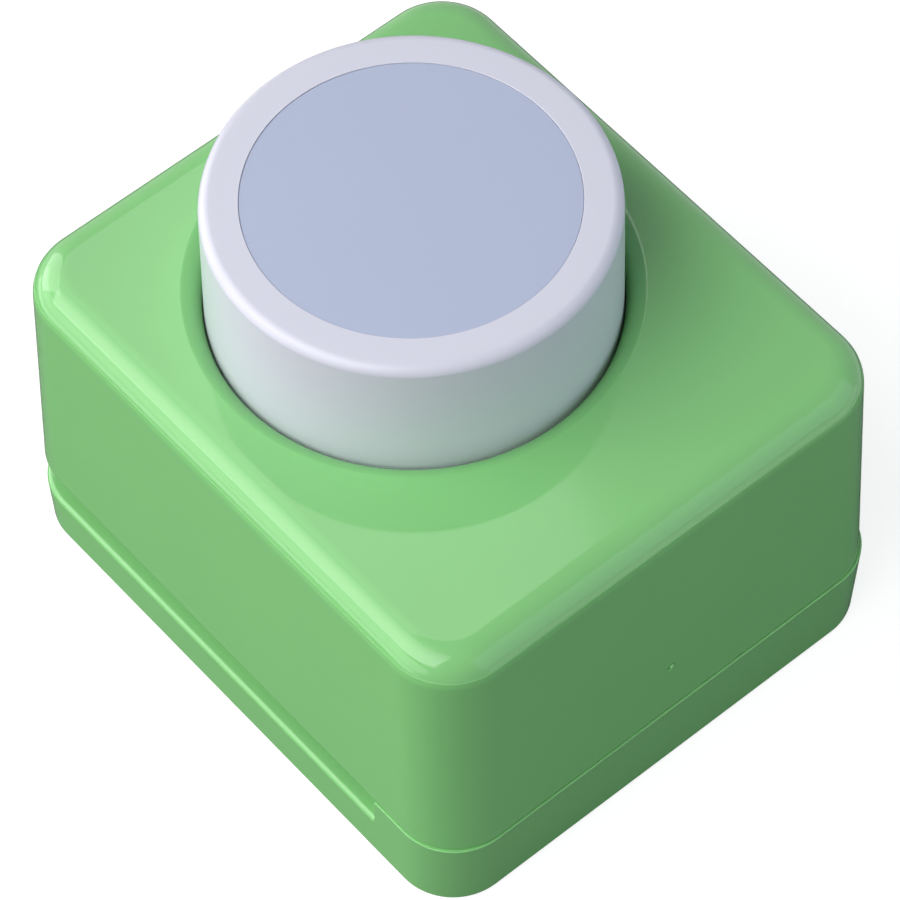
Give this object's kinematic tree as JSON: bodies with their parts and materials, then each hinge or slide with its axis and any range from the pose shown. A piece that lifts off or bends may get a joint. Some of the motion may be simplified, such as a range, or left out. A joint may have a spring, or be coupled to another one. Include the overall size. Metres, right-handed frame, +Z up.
{
  "type": "circle punch",
  "caption": "Desk punch with a large round push button that drives a round cutter through paper held in a slot between a boxy cover and its base.",
  "frame": {"origin": "middle of the underside, at the level of the surface it stands on", "axes": "+Z up along the press axis, +X to the right along the closed front, +Y from the closed front to the open back of the paper slot"},
  "size_m": [0.0684, 0.0794, 0.064],
  "materials": {
    "green_plastic": "glossy light green moulded plastic",
    "white_plastic": "glossy cool white moulded plastic",
    "blue_disc": "satin blue-grey plastic sheet",
    "die_steel": "ground plate steel",
    "cutter_steel": "fine ground hardened steel",
    "spring_steel": "drawn spring wire",
    "screw_steel": "bright zinc plated"
  },
  "bodies": {
    "body": {"cover": "green_plastic", "base": "green_plastic", "die_plate": "die_steel", "throat_spacer": "die_steel", "stripper_plate": "die_steel", "guide_post_1": "cutter_steel", "guide_post_2": "cutter_steel", "guide_post_3": "cutter_steel", "guide_post_4": "cutter_steel", "return_spring_1": "spring_steel", "return_spring_2": "spring_steel", "return_spring_3": "spring_steel", "return_spring_4": "spring_steel", "cover_screw_1": "screw_steel", "cover_screw_2": "screw_steel", "cover_screw_3": "screw_steel", "cover_screw_4": "screw_steel", "die_screw_1": "screw_steel", "die_screw_2": "screw_steel", "die_screw_3": "screw_steel", "base_screw_1": "screw_steel", "base_screw_2": "screw_steel", "base_screw_3": "screw_steel", "base_screw_4": "screw_steel"},
    "button": {"push_button": "white_plastic", "button_disc": "blue_disc", "punch_carrier": "die_steel", "punch_cutter": "cutter_steel", "cutter_screw_1": "screw_steel", "cutter_screw_2": "screw_steel", "cutter_screw_3": "screw_steel"}
  },
  "joints": [
    {"name": "press", "type": "slide", "parent": "body", "child": "button", "axis": [0, 0, -1], "range_m": [0, 0.007], "stiffness_N_per_m": 1500, "springref_m": -0.005, "deforming": ["return_spring_1", "return_spring_2", "return_spring_3", "return_spring_4"]}
  ]
}
